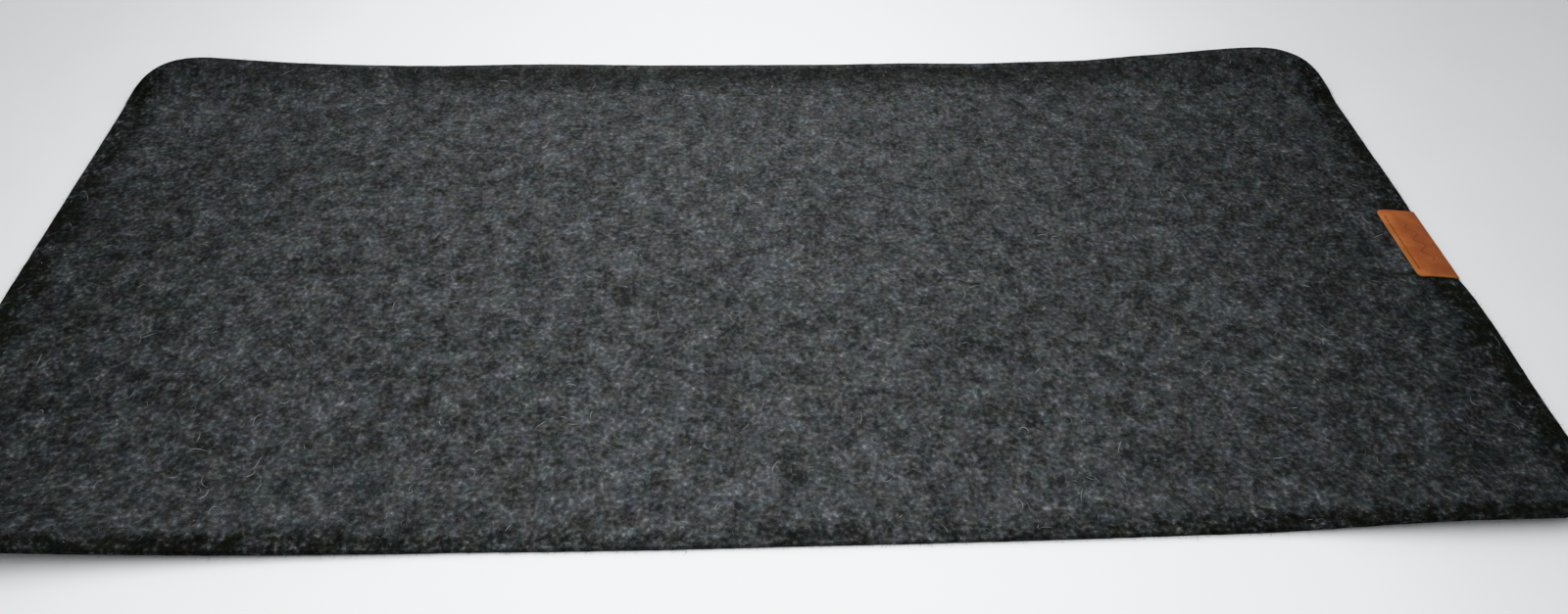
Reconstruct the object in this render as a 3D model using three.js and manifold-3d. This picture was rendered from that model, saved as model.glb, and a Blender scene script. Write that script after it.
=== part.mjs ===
// Felt desk pad: one sheet of thick charcoal felt with round corners, and a leather tag that is folded
// round the middle of its right edge and sewn through leaf, felt and leaf with one row of lockstitch.
// Millimetres, +Z up, +X along the pad to the tag's end, and the user sits at -Y.
// The origin is the middle of the outline, tag included, on the surface that the pad lies on.
import * as THREE from "three";
import { mergeVertices } from "three/addons/utils/BufferGeometryUtils.js";
import Module from "manifold-3d";

// Felt sheet
const padLength = 800;
const padDepth = 400;
const feltThickness = 3;

// In plan the far corners, which the curl draws in, are rounder than the near ones
const nearCornerRadius = 34;
const farCornerRadius = 46;

// The curl that the sheet keeps from being rolled: how high it would lift each square corner, how far it
// reaches in from the short edges and from the long ones, and how late it grows on its way to the corner.
// At the near right corner it grows over a stretch of its length and is level from there on.
const nearLeftRise = 16;
const nearRightRise = 5.3;
const farLeftRise = 13;
const farRightRise = 15.5;
const nearLeftCurlLength = 330;
const nearRightCurlLength = 184;
const nearRightCurlGrowth = 118;
const farCurlLength = 245;
const curlDepth = 50;
const nearLeftCurlPower = 2.6;
const farLeftCurlPower = 2.8;
const farRightCurlPower = 1.3;

// Leather tag: its length along the pad's edge, and how far each leaf reaches in from that edge
const tagLength = 60;
const tagReach = 23.5;
const leatherThickness = 1;
const tagCornerRadius = 3;

// The felt between the leaves is pressed by the seam and pinched thinner in the fold. The upper leaf slopes
// down to the fold from a little past the seam. Round the tag the felt eases back to its full thickness.
const pressedFelt = 2.6;
const pinchedFelt = 0.8;
const pinchInset = 3;
const feltEase = 12;

// Seam: one straight row of stitches along the leaves' free ends
const stitchLength = 3.5;
const seamInset = 3;
const seamEndMargin = 4;
const threadDiameter = 0.5;
const grooveDepth = 0.3;
const legShare = 1.2;
const stitchHump = 0.06;
const threadClearance = 0.05;
const holeClearance = 0.1;
const lockGap = 0.3;
const deskClearance = 0.05;
const cutOverrun = 1;

// Counts and shares of the grid that carries the sheet's shape
const cornerSteps = 8;
const foldSteps = 10;
const holeSides = 8;
const threadSides = 6;
const humpSteps = 4;
const curlColumnShares = [0, 0.12, 0.25, 0.4, 0.56, 0.74, 1];
const curlRowShares = [0.84, 1];
const easeShares = [0, 0.5, 1];
const leastStep = 0.01;

// Places that follow from the sizes
const halfLength = padLength / 2;
const halfDepth = padDepth / 2;
const legDiameter = threadDiameter * legShare;
const holeDiameter = legDiameter + 2 * holeClearance;
const threadProud = threadClearance + threadDiameter - grooveDepth;
const lowerLeafFace = deskClearance + threadProud;
const feltSeat = lowerLeafFace + leatherThickness;
const feltSeatTop = feltSeat + pressedFelt;
const upperLeafFace = feltSeatTop + leatherThickness;
const seamHeight = (feltSeat + feltSeatTop) / 2;
const tagFreeEnd = halfLength - tagReach;
const seamPlace = tagFreeEnd + seamInset;
const stitchCount = Math.floor((tagLength - 2 * seamEndMargin) / stitchLength);
const seamStart = (-stitchCount * stitchLength) / 2;

// The fold in section: two round faces about one centre, and the slope that runs from the pinch's start to
// touch the inner one
const foldInner = pinchedFelt / 2;
const foldOuter = foldInner + leatherThickness;
const foldHeight = feltSeat + foldInner;
const pinchStart = seamPlace + pinchInset;
const pinchRun = halfLength - pinchStart;
const pinchDrop = feltSeatTop - foldHeight;
const pinchAngle = Math.atan2(pinchDrop, pinchRun) - Math.asin(foldInner / Math.hypot(pinchRun, pinchDrop));
const pinchedTop = foldHeight + foldInner / Math.cos(pinchAngle);

const wasm = await Module();
wasm.setup();

// A closed three.js geometry as a solid that can be joined and cut
function solidOf(geometry) {
  const bare = geometry.clone();
  bare.deleteAttribute("normal");
  bare.deleteAttribute("uv");
  const merged = mergeVertices(bare);
  const vertProperties = new Float32Array(merged.attributes.position.array);
  const triVerts = new Uint32Array(merged.index.array);
  return new wasm.Manifold(new wasm.Mesh({ numProp: 3, vertProperties, triVerts }));
}

// A solid back as a geometry
function geometryOf(solid) {
  const mesh = solid.getMesh();
  const geometry = new THREE.BufferGeometry();
  geometry.setAttribute("position", new THREE.BufferAttribute(mesh.vertProperties, mesh.numProp));
  geometry.setIndex(new THREE.BufferAttribute(mesh.triVerts, 1));
  geometry.computeVertexNormals();
  return geometry;
}

// Smooth step from 0 to 1 as t goes from 0 to 1
function smooth(t) {
  const held = Math.min(1, Math.max(0, t));
  return held * held * (3 - 2 * held);
}

// Half the sheet's length on the line at y: the round corners shorten it near the long edges
function halfLengthAt(y) {
  const radius = y < 0 ? nearCornerRadius : farCornerRadius;
  const over = Math.max(0, Math.abs(y) - (halfDepth - radius));
  const chord = Math.sqrt(Math.max(0, radius * radius - over * over));
  return halfLength - radius + chord;
}

// Height that the curl would have on the long edge, at a distance from the short edge
function nearCurlAt(x, toShortEdge) {
  if (x < 0) {
    return nearLeftRise * Math.pow(Math.max(0, 1 - toShortEdge / nearLeftCurlLength), nearLeftCurlPower);
  }
  return nearRightRise * smooth((nearRightCurlLength - toShortEdge) / nearRightCurlGrowth);
}

function farCurlAt(x, toShortEdge) {
  const rise = x < 0 ? farLeftRise : farRightRise;
  const power = x < 0 ? farLeftCurlPower : farRightCurlPower;
  return rise * Math.pow(Math.max(0, 1 - toShortEdge / farCurlLength), power);
}

// Height that the curl lifts the underside to at a point
function curlAt(x, y) {
  const toShortEdge = halfLength - Math.abs(x);
  const across = smooth(1 - (halfDepth - Math.abs(y)) / curlDepth);
  return (y < 0 ? nearCurlAt(x, toShortEdge) : farCurlAt(x, toShortEdge)) * across;
}

// How fully a point lies between the tag's leaves: 1 there, easing to 0 round them
function pressAt(x, y) {
  const inward = Math.max(0, tagFreeEnd - x);
  const sideways = Math.max(0, Math.abs(y) - tagLength / 2);
  return smooth(1 - inward / feltEase) * smooth(1 - sideways / feltEase);
}

function undersideAt(x, y) {
  return curlAt(x, y) + feltSeat * pressAt(x, y);
}

// Height of the felt's top between the leaves: level round the seam, then down to the fold
function pressedTopAt(x) {
  return feltSeatTop + (pinchedTop - feltSeatTop) * Math.max(0, (x - pinchStart) / pinchRun);
}

function topAt(x, y) {
  return curlAt(x, y) + feltThickness + (pressedTopAt(x) - feltThickness) * pressAt(x, y);
}

// Sorted places without near repeats
function sortedPlaces(places) {
  const sorted = [...places].sort((a, b) => a - b);
  return sorted.filter((place, i) => i === 0 || place - sorted[i - 1] > leastStep);
}

// Columns of the grid: closer together towards the short edges, with lines at the tag's free end and pinch
function columnPlaces() {
  const places = [pinchStart];
  for (const share of curlColumnShares) {
    places.push(halfLength - nearLeftCurlLength * share);
    places.push(nearLeftCurlLength * share - halfLength);
  }
  for (const share of easeShares) {
    places.push(tagFreeEnd - feltEase * share);
  }
  return sortedPlaces(places);
}

// Rows of the grid: equal angles round the corners, and lines at the curl's start and the tag's ends
function rowPlaces() {
  const places = [];
  for (const side of [-1, 1]) {
    const radius = side < 0 ? nearCornerRadius : farCornerRadius;
    for (const share of curlRowShares) {
      places.push(side * (halfDepth - curlDepth * share));
    }
    for (let i = 0; i <= cornerSteps; i += 1) {
      const angle = (Math.PI / 2) * (i / cornerSteps);
      places.push(side * (halfDepth - radius + radius * Math.sin(angle)));
    }
    for (const share of easeShares) {
      places.push(side * (tagLength / 2 + feltEase * share));
    }
  }
  return sortedPlaces(places);
}

// The sheet before the needle holes: a grid of points on its underside and the same grid on its top,
// joined all round by the cut edge
function sheetGeometry() {
  const columns = columnPlaces();
  const rows = rowPlaces();
  const across = columns.length;
  const layer = across * rows.length;
  const positions = [];
  for (const heightAt of [undersideAt, topAt]) {
    for (const y of rows) {
      const squeeze = halfLengthAt(y) / halfLength;
      for (const column of columns) {
        const x = column * squeeze;
        positions.push(x, y, heightAt(x, y));
      }
    }
  }
  const indices = [];
  function quad(a, b, c, d) {
    indices.push(a, b, c, a, c, d);
  }
  for (let j = 0; j + 1 < rows.length; j += 1) {
    for (let i = 0; i + 1 < across; i += 1) {
      const corner = j * across + i;
      quad(corner, corner + across, corner + across + 1, corner + 1);
      quad(layer + corner, layer + corner + 1, layer + corner + across + 1, layer + corner + across);
    }
    const left = j * across;
    const right = left + across - 1;
    quad(left, layer + left, layer + left + across, left + across);
    quad(right, right + across, layer + right + across, layer + right);
  }
  const lastRow = (rows.length - 1) * across;
  for (let i = 0; i + 1 < across; i += 1) {
    quad(i, i + 1, layer + i + 1, layer + i);
    quad(lastRow + i, layer + lastRow + i, layer + lastRow + i + 1, lastRow + i + 1);
  }
  const geometry = new THREE.BufferGeometry();
  geometry.setAttribute("position", new THREE.Float32BufferAttribute(positions, 3));
  geometry.setIndex(indices);
  return geometry;
}

// A prism that stands on an outline in the XY plane, between two heights
function prism(shape, low, high, curveSegments) {
  const geometry = new THREE.ExtrudeGeometry(shape, {
    depth: high - low,
    bevelEnabled: false,
    curveSegments,
  });
  geometry.translate(0, 0, low);
  return geometry;
}

// An upright round rod at hole number i of the seam, between two heights
function rodAtHole(i, diameter, sides, low, high) {
  const geometry = new THREE.CylinderGeometry(diameter / 2, diameter / 2, high - low, sides);
  geometry.rotateX(Math.PI / 2);
  geometry.translate(seamPlace, seamStart + i * stitchLength, (low + high) / 2);
  return solidOf(geometry);
}

// All the needle holes as one cutting tool
function needleHoles() {
  const holes = [];
  for (let i = 0; i <= stitchCount; i += 1) {
    holes.push(rodAtHole(i, holeDiameter, holeSides, -cutOverrun, upperLeafFace + cutOverrun));
  }
  return wasm.Manifold.union(holes);
}

// Felt sheet
function feltSheet() {
  return geometryOf(solidOf(sheetGeometry()).subtract(needleHoles()));
}

// Section of the folded tag in the XZ plane: level lower leaf, round fold, and upper leaf with its slope
function tagSection() {
  const section = new THREE.Shape();
  section.moveTo(tagFreeEnd, lowerLeafFace);
  section.lineTo(halfLength, lowerLeafFace);
  section.absarc(halfLength, foldHeight, foldOuter, -Math.PI / 2, Math.PI / 2 - pinchAngle, false);
  section.lineTo(pinchStart + leatherThickness * Math.tan(pinchAngle / 2), upperLeafFace);
  section.lineTo(tagFreeEnd, upperLeafFace);
  section.lineTo(tagFreeEnd, feltSeatTop);
  section.lineTo(pinchStart, feltSeatTop);
  section.absarc(halfLength, foldHeight, foldInner, Math.PI / 2 - pinchAngle, -Math.PI / 2, true);
  section.lineTo(tagFreeEnd, feltSeat);
  section.closePath();
  return section;
}

// The tag's outline seen from above: round corners at the free end, and past the fold at the other
function tagOutline() {
  const nearEnd = -tagLength / 2;
  const farEnd = tagLength / 2;
  const pastFold = halfLength + foldOuter + cutOverrun;
  const outline = new THREE.Shape();
  outline.moveTo(pastFold, nearEnd);
  outline.lineTo(pastFold, farEnd);
  outline.lineTo(tagFreeEnd + tagCornerRadius, farEnd);
  outline.absarc(
    tagFreeEnd + tagCornerRadius,
    farEnd - tagCornerRadius,
    tagCornerRadius,
    Math.PI / 2,
    Math.PI,
    false,
  );
  outline.lineTo(tagFreeEnd, nearEnd + tagCornerRadius);
  outline.absarc(
    tagFreeEnd + tagCornerRadius,
    nearEnd + tagCornerRadius,
    tagCornerRadius,
    Math.PI,
    1.5 * Math.PI,
    false,
  );
  outline.closePath();
  return outline;
}

// The shallow groove that the seam draws into a leaf's face
function seamGroove(low, high) {
  const length = stitchCount * stitchLength + holeDiameter;
  const geometry = new THREE.BoxGeometry(holeDiameter, length, high - low);
  geometry.translate(seamPlace, seamStart + (stitchCount * stitchLength) / 2, (low + high) / 2);
  return solidOf(geometry);
}

// Leather tag: the folded section, trimmed to its outline, grooved along the seam and pierced
function leatherTag() {
  const folded = new THREE.ExtrudeGeometry(tagSection(), {
    depth: tagLength,
    bevelEnabled: false,
    curveSegments: foldSteps,
  });
  folded.rotateX(Math.PI / 2);
  folded.translate(0, tagLength / 2, 0);
  const trim = prism(tagOutline(), -cutOverrun, upperLeafFace + cutOverrun, cornerSteps);
  let tag = solidOf(folded).intersect(solidOf(trim));
  tag = tag.subtract(seamGroove(lowerLeafFace - cutOverrun, lowerLeafFace + grooveDepth));
  tag = tag.subtract(seamGroove(upperLeafFace - grooveDepth, upperLeafFace + cutOverrun));
  return geometryOf(tag.subtract(needleHoles()));
}

// One thread of the lockstitch: a humped stitch from hole to hole along a face of the tag, and a leg in
// each hole that stops by half the lock gap from the seam's mid height. The side is 1 above and -1 below.
function seamThread(side) {
  const face = side > 0 ? upperLeafFace : lowerLeafFace;
  const centre = face + side * (threadClearance + threadDiameter / 2 - grooveDepth);
  const legEnd = seamHeight + (side * lockGap) / 2;
  const circle = new THREE.Shape();
  circle.absarc(0, 0, threadDiameter / 2, 0, 2 * Math.PI, false);
  const pieces = [];
  for (let i = 0; i <= stitchCount; i += 1) {
    const low = Math.min(centre, legEnd);
    const high = Math.max(centre, legEnd);
    pieces.push(rodAtHole(i, legDiameter, threadSides, low, high));
    if (i < stitchCount) {
      const start = seamStart + i * stitchLength;
      const route = new THREE.QuadraticBezierCurve3(
        new THREE.Vector3(seamPlace, start, centre - side * stitchHump),
        new THREE.Vector3(seamPlace, start + stitchLength / 2, centre + side * stitchHump),
        new THREE.Vector3(seamPlace, start + stitchLength, centre - side * stitchHump),
      );
      const stitch = new THREE.ExtrudeGeometry(circle, {
        steps: humpSteps,
        curveSegments: threadSides / 2,
        extrudePath: route,
      });
      pieces.push(solidOf(stitch));
    }
  }
  return geometryOf(wasm.Manifold.union(pieces));
}

const felt = new THREE.MeshStandardMaterial({ color: 0x3c3d40, roughness: 0.98, metalness: 0 });
const leather = new THREE.MeshStandardMaterial({ color: 0x9a5630, roughness: 0.55, metalness: 0 });
const needleThread = new THREE.MeshStandardMaterial({ color: 0x7d4526, roughness: 0.8, metalness: 0 });
const bobbinThread = new THREE.MeshStandardMaterial({ color: 0x7d4526, roughness: 0.8, metalness: 0 });

function piece(name, geometry, material) {
  const mesh = new THREE.Mesh(geometry, material);
  mesh.name = name;
  return mesh;
}

const deskPad = new THREE.Group();
deskPad.add(piece("felt_sheet", feltSheet(), felt));
deskPad.add(piece("leather_tag", leatherTag(), leather));
deskPad.add(piece("tag_needle_thread", seamThread(1), needleThread));
deskPad.add(piece("tag_bobbin_thread", seamThread(-1), bobbinThread));
deskPad.position.x = -foldOuter / 2;

export default deskPad;
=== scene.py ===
"""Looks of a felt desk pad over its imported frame, in metres, +Z up, the user's side at -Y.

The pad is one sheet of charcoal felt with loose fibres on it. A leather tag is folded round the middle
of its right edge and held by one row of lockstitch.
"""

import logging
import math
from dataclasses import dataclass
from enum import Enum

import bpy
import numpy as np
from mathutils import Matrix, Vector


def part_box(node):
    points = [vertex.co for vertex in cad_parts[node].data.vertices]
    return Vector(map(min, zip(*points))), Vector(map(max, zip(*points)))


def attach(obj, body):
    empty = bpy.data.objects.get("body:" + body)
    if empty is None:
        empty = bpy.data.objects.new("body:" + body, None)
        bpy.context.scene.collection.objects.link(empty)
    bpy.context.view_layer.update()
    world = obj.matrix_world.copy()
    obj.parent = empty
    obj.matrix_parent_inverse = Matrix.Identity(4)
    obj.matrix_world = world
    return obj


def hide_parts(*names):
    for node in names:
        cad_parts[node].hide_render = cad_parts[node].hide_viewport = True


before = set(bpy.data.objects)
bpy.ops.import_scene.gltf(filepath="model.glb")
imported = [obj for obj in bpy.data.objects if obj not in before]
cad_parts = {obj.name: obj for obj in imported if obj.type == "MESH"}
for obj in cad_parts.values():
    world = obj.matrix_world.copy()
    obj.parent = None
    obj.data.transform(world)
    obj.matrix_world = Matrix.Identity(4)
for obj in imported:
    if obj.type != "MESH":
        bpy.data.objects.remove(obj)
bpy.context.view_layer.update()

log = logging.getLogger("desk_pad")

PHOTO_WIDTH = 1600
ROOT = "root"
PER_MILLIMETRE = 1000.0
LATTICE = 512
TINY = 1e-12
NOISE_MIDDLE = 0.5
WHITE = (1.0, 1.0, 1.0)
EVEN = (1.0, 1.0, 1.0)
MIX_COLOUR_FACTOR = 0
MIX_COLOUR_A = 6
MIX_COLOUR_B = 7
MIX_COLOUR_RESULT = 2

Array = np.ndarray
Random = np.random.Generator
Piece = bpy.types.Object
Material = bpy.types.Material
Socket = bpy.types.NodeSocket
Pair = tuple[float, float]
Triple = tuple[float, float, float]
Colour = Triple
Stops = tuple[tuple[float, Colour], ...]


class Face(Enum):
    """The two faces of the pad, with the sign of the way that each looks."""

    TOP = 1
    UNDERSIDE = -1


def smooth(t: Array) -> Array:
    """Smooth step: three t squared less two t cubed, with t held between 0 and 1."""
    held = np.clip(t, 0.0, 1.0)
    return held * held * (3.0 - 2.0 * held)


def rise(place: Array, start: float, run: float) -> Array:
    """Smooth step from 0 at a start to 1 a run further on; a negative run turns it round."""
    return smooth((place - start) / run)


def fade(distance: Array, reach: float, held: float = 0.0) -> Array:
    """Smooth fall from 1 to 0 over a reach, which begins at a held share of that reach."""
    return smooth(1.0 + held - distance / reach)


def running(steps: Array) -> Array:
    """Running sum of steps, with 0 before the first."""
    return np.concatenate([[0.0], np.cumsum(steps)])


def unit(vectors: Array) -> Array:
    """Vectors divided by their lengths along the last axis."""
    return vectors / np.maximum(np.linalg.norm(vectors, axis=-1, keepdims=True), TINY)


def add_mesh(name: str, points: Array, faces: list, marks: dict[str, Array]) -> Piece:
    """Puts worked-out points and faces into a new smooth-shaded mesh object at the origin.

    Args:
        name: The piece's name.
        points: Places of the vertices, in rows of three.
        faces: Vertex numbers of each face, facing outwards.
        marks: Named numbers for each vertex, which materials read as attributes.

    Returns:
        The new object, linked to the scene.
    """
    mesh = bpy.data.meshes.new(name)
    mesh.from_pydata(points.tolist(), [], faces)
    mesh.polygons.foreach_set("use_smooth", np.ones(len(mesh.polygons), bool))
    for mark, values in marks.items():
        attribute = mesh.attributes.new(mark, "FLOAT", "POINT")
        attribute.data.foreach_set("value", values.astype(np.float32))
    mesh.update()
    piece = bpy.data.objects.new(name, mesh)
    bpy.context.scene.collection.objects.link(piece)
    return piece


def tubes(paths: Array, radii: Array, sides: int, aside: Vector) -> tuple[Array, list]:
    """Closed tubes along paths.

    Each ring is the path's point plus the radius times a circle in the plane of two directions square
    to the path: the cross product of the path's direction and a fixed one, and the third square to both.

    Args:
        paths: Points of each path, shaped (tubes, points, 3).
        radii: Radius at each point, shaped (tubes, points).
        sides: Number of sides of each tube.
        aside: A direction that no path runs along.

    Returns:
        The points of all the tubes in rows of three, and their faces.
    """
    count, steps, _ = paths.shape
    along = unit(np.gradient(paths, axis=1))
    first = unit(np.cross(along, np.array(aside)))
    second = np.cross(along, first)
    turn = np.arange(sides) * (2 * np.pi / sides)
    ring = first[:, :, None] * np.cos(turn)[:, None] + second[:, :, None] * np.sin(turn)[:, None]
    points = paths[:, :, None] + radii[:, :, None, None] * ring
    start = np.arange(count)[:, None, None] * (steps * sides)
    row = np.arange(steps - 1)[None, :, None] * sides
    side = np.arange(sides)[None, None, :]
    after = (side + 1) % sides
    quads = np.stack(
        np.broadcast_arrays(
            start + row + side, start + row + after, start + row + sides + after, start + row + sides + side
        ),
        axis=-1,
    ).reshape(-1, 4)
    near_caps = (start[:, 0] + np.arange(sides)[None, ::-1]).tolist()
    far_caps = (start[:, 0] + (steps - 1) * sides + np.arange(sides)[None, :]).tolist()
    return points.reshape(-1, 3), quads.tolist() + near_caps + far_caps


@dataclass(frozen=True)
class Cloud:
    """Smooth random heights over a plane.

    Random values stand on a square lattice, and each point blends the four round it by smooth steps.

    Attributes:
        cell: Distance between lattice lines.
        height: The greatest height, up or down.
        seed: Seed of the random values.
        shift: How far the lattice is moved along both axes.
    """

    cell: float
    height: float
    seed: int
    shift: float = 1.0

    def at(self, x: Array, y: Array) -> Array:
        """Heights at places along the two axes.

        Args:
            x: Places along one axis.
            y: Places along the other.

        Returns:
            The height at each place.
        """
        values = np.random.default_rng(self.seed).uniform(-1.0, 1.0, (LATTICE, LATTICE))
        u = (x + self.shift) / self.cell
        v = (y + self.shift) / self.cell
        i = np.floor(u).astype(int)
        j = np.floor(v).astype(int)
        left, right = i % LATTICE, (i + 1) % LATTICE
        near, far = j % LATTICE, (j + 1) % LATTICE
        s = smooth(u - i)
        t = smooth(v - j)
        low = values[left, near] * (1 - s) + values[right, near] * s
        high = values[left, far] * (1 - s) + values[right, far] * s
        return self.height * (low * (1 - t) + high * t)


@dataclass
class Cut:
    """A piece cut from flat stock, before it is laid, bent or folded.

    Attributes:
        p: Place of each vertex along the stock.
        q: Place of each vertex across the stock.
        w: Height of each vertex above the stock's underside.
        rim: How far each vertex stands on the cut edge, from 0 on a face to 1 on the edge's wall.
        faces: Vertex numbers of each face, facing outwards.
    """

    p: Array
    q: Array
    w: Array
    rim: Array
    faces: list


@dataclass(frozen=True)
class Pattern:
    """The flat pattern of a piece: a rectangle with round corners and softened cut edges."""

    length: float
    width: float
    low_corner: float
    high_corner: float
    thickness: float
    arris: float
    column_step: float
    row_step: float
    corner_steps: int
    arris_steps: int
    wall_steps: int

    def inner(self) -> tuple[float, float]:
        """Half length and half width of the flat part, inside the edge's rounding."""
        return self.length / 2 - self.arris, self.width / 2 - self.arris

    def radius(self, row: Array) -> Array:
        """Radius of the flat part's corners on the side where each row lies."""
        return np.where(row < 0, self.low_corner, self.high_corner) - self.arris

    def half_length_at(self, row: Array) -> Array:
        """Half the flat part's length on each row, which the corner circles shorten near its ends.

        Args:
            row: Place of each row across the pattern.

        Returns:
            Half the length of each row.
        """
        half_length, half_width = self.inner()
        radius = self.radius(row)
        over = np.maximum(0.0, np.abs(row) - (half_width - radius))
        return half_length - radius + np.sqrt(np.maximum(0.0, radius**2 - over**2))

    def rows(self) -> Array:
        """Places of the grid's rows: even steps in the middle and equal angles round the corners.

        Returns:
            The rows' places, from the low side to the high one.
        """
        _, half_width = self.inner()
        low, high = self.radius(np.array([-1.0, 1.0]))
        start = low - half_width
        end = half_width - high
        count = max(2, round((end - start) / self.row_step))
        angles = np.arange(1, self.corner_steps + 1) * (np.pi / 2 / self.corner_steps)
        before = start - low * np.sin(angles[::-1])
        return np.concatenate([before, np.linspace(start, end, count + 1), end + high * np.sin(angles)])

    def profile(self) -> tuple[Array, Array]:
        """The cut edge's section, from the underside up: a quarter circle, a wall and a quarter circle.

        Returns:
            How far out of the flat part each ring of the edge stands, and its height.
        """
        angles = np.arange(1, self.arris_steps + 1) * (np.pi / 2 / self.arris_steps)
        out = self.arris * np.sin(angles)
        climb = self.arris * (1 - np.cos(angles))
        wall = np.linspace(self.arris, self.thickness - self.arris, self.wall_steps + 2)[1:-1]
        outs = np.concatenate([out, np.full(self.wall_steps, self.arris), out[::-1]])
        rises = np.concatenate([climb, wall, self.thickness - climb[::-1]])
        return outs, rises

    def outline_normals(self, p: Array, q: Array) -> tuple[Array, Array]:
        """Directions out of the flat part at points on its outline, away from the corner circles' centres.

        Args:
            p: Place of each point along the pattern.
            q: Place of each point across it.

        Returns:
            The two parts of each direction, along the pattern and across it.
        """
        half_length, half_width = self.inner()
        radius = self.radius(q)
        past_p = np.abs(p) - (half_length - radius)
        past_q = np.abs(q) - (half_width - radius)
        slack = 1e-9
        on_p = np.where(past_p > slack, past_p, 0.0)
        on_q = np.where(past_q > slack, past_q, 0.0)
        size = np.maximum(np.hypot(on_p, on_q), slack)
        return np.sign(p) * on_p / size, np.sign(q) * on_q / size

    def cut(self) -> Cut:
        """The pattern as a closed slab: a grid on each face, joined by rings round the cut edge.

        A column keeps its share of each row's length, so the grid fills the round corners.

        Returns:
            The slab's vertices in flat coordinates, and its faces.
        """
        half_length, _ = self.inner()
        rows = self.rows()
        count = max(2, round(2 * half_length / self.column_step))
        shares = np.linspace(-1.0, 1.0, count + 1)
        p = self.half_length_at(rows)[:, None] * shares[None, :]
        q = np.broadcast_to(rows[:, None], p.shape)
        across = len(shares)
        layer = p.size
        corner = (np.arange(len(rows) - 1)[:, None] * across + np.arange(across - 1)[None, :]).ravel()
        top = np.stack([corner, corner + 1, corner + across + 1, corner + across], axis=1) + layer
        under = np.stack([corner, corner + across, corner + across + 1, corner + 1], axis=1)
        last = (len(rows) - 1) * across
        loop = np.concatenate(
            [
                np.arange(across),
                np.arange(1, len(rows)) * across + across - 1,
                last + np.arange(across - 2, -1, -1),
                np.arange(len(rows) - 2, 0, -1) * across,
            ]
        )
        outs, rises = self.profile()
        edge_p = p.ravel()[loop]
        edge_q = q.ravel()[loop]
        normal_p, normal_q = self.outline_normals(edge_p, edge_q)
        ring_p = edge_p[None] + outs[:, None] * normal_p[None]
        ring_q = edge_q[None] + outs[:, None] * normal_q[None]
        ring_w = np.broadcast_to(rises[:, None], ring_p.shape)
        ring_rim = np.broadcast_to((outs / self.arris)[:, None], ring_p.shape)
        size = len(loop)
        rings = np.concatenate(
            [
                loop[None],
                2 * layer + np.arange(len(outs))[:, None] * size + np.arange(size),
                loop[None] + layer,
            ]
        )
        following = np.roll(rings, -1, axis=1)
        wall = np.stack([rings[:-1], following[:-1], following[1:], rings[1:]], axis=-1).reshape(-1, 4)
        return Cut(
            p=np.concatenate([p.ravel(), p.ravel(), ring_p.ravel()]),
            q=np.concatenate([q.ravel(), q.ravel(), ring_q.ravel()]),
            w=np.concatenate([np.zeros(layer), np.full(layer, self.thickness), ring_w.ravel()]),
            rim=np.concatenate([np.zeros(2 * layer), ring_rim.ravel()]),
            faces=np.concatenate([under, top, wall]).tolist(),
        )


@dataclass(frozen=True)
class Grain:
    """A layer of shader noise.

    Attributes:
        scale: Cells in each millimetre.
        detail: Number of finer octaves.
        rough: Weight of each octave next to the one before.
        weight: How far the layer moves a tone.
    """

    scale: float
    detail: float
    rough: float
    weight: float = 0.0


class Number:
    """A number that a shader node gives, with arithmetic that adds Math nodes."""

    def __init__(self, bench: "Bench", socket: Socket) -> None:
        """Keeps the socket and the bench that its nodes stand on."""
        self.bench = bench
        self.socket = socket

    def combine(self, operation: str, first: object, second: object, held: bool = False) -> "Number":
        """A Math node's result.

        Args:
            operation: The Math node's operation.
            first: Its first value or link.
            second: Its second value or link.
            held: Whether the result is held between 0 and 1.

        Returns:
            The node's output.
        """
        settings = {"operation": operation, "use_clamp": held}
        node = self.bench.add("ShaderNodeMath", settings, {0: first, 1: second})
        return Number(self.bench, node.outputs[0])

    def __add__(self, other: object) -> "Number":
        """This plus the other."""
        return self.combine("ADD", self, other)

    __radd__ = __add__

    def __sub__(self, other: object) -> "Number":
        """This less the other."""
        return self.combine("SUBTRACT", self, other)

    def __rsub__(self, other: object) -> "Number":
        """The other less this."""
        return self.combine("SUBTRACT", other, self)

    def __mul__(self, other: object) -> "Number":
        """This times the other."""
        return self.combine("MULTIPLY", self, other)

    def __pow__(self, other: object) -> "Number":
        """This to the power of the other."""
        return self.combine("POWER", self, other)

    def __abs__(self) -> "Number":
        """This without its sign."""
        return self.combine("ABSOLUTE", self, 0.0)

    def held(self) -> "Number":
        """This held between 0 and 1."""
        return self.combine("ADD", self, 0.0, held=True)

    def larger(self, other: object) -> "Number":
        """The larger of this and the other."""
        return self.combine("MAXIMUM", self, other)

    def ramp(self, low: float, high: float) -> "Number":
        """0 up to the low value and 1 from the high one on, with a straight rise between."""
        return self.combine("MULTIPLY", self - low, 1.0 / (high - low), held=True)


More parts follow.
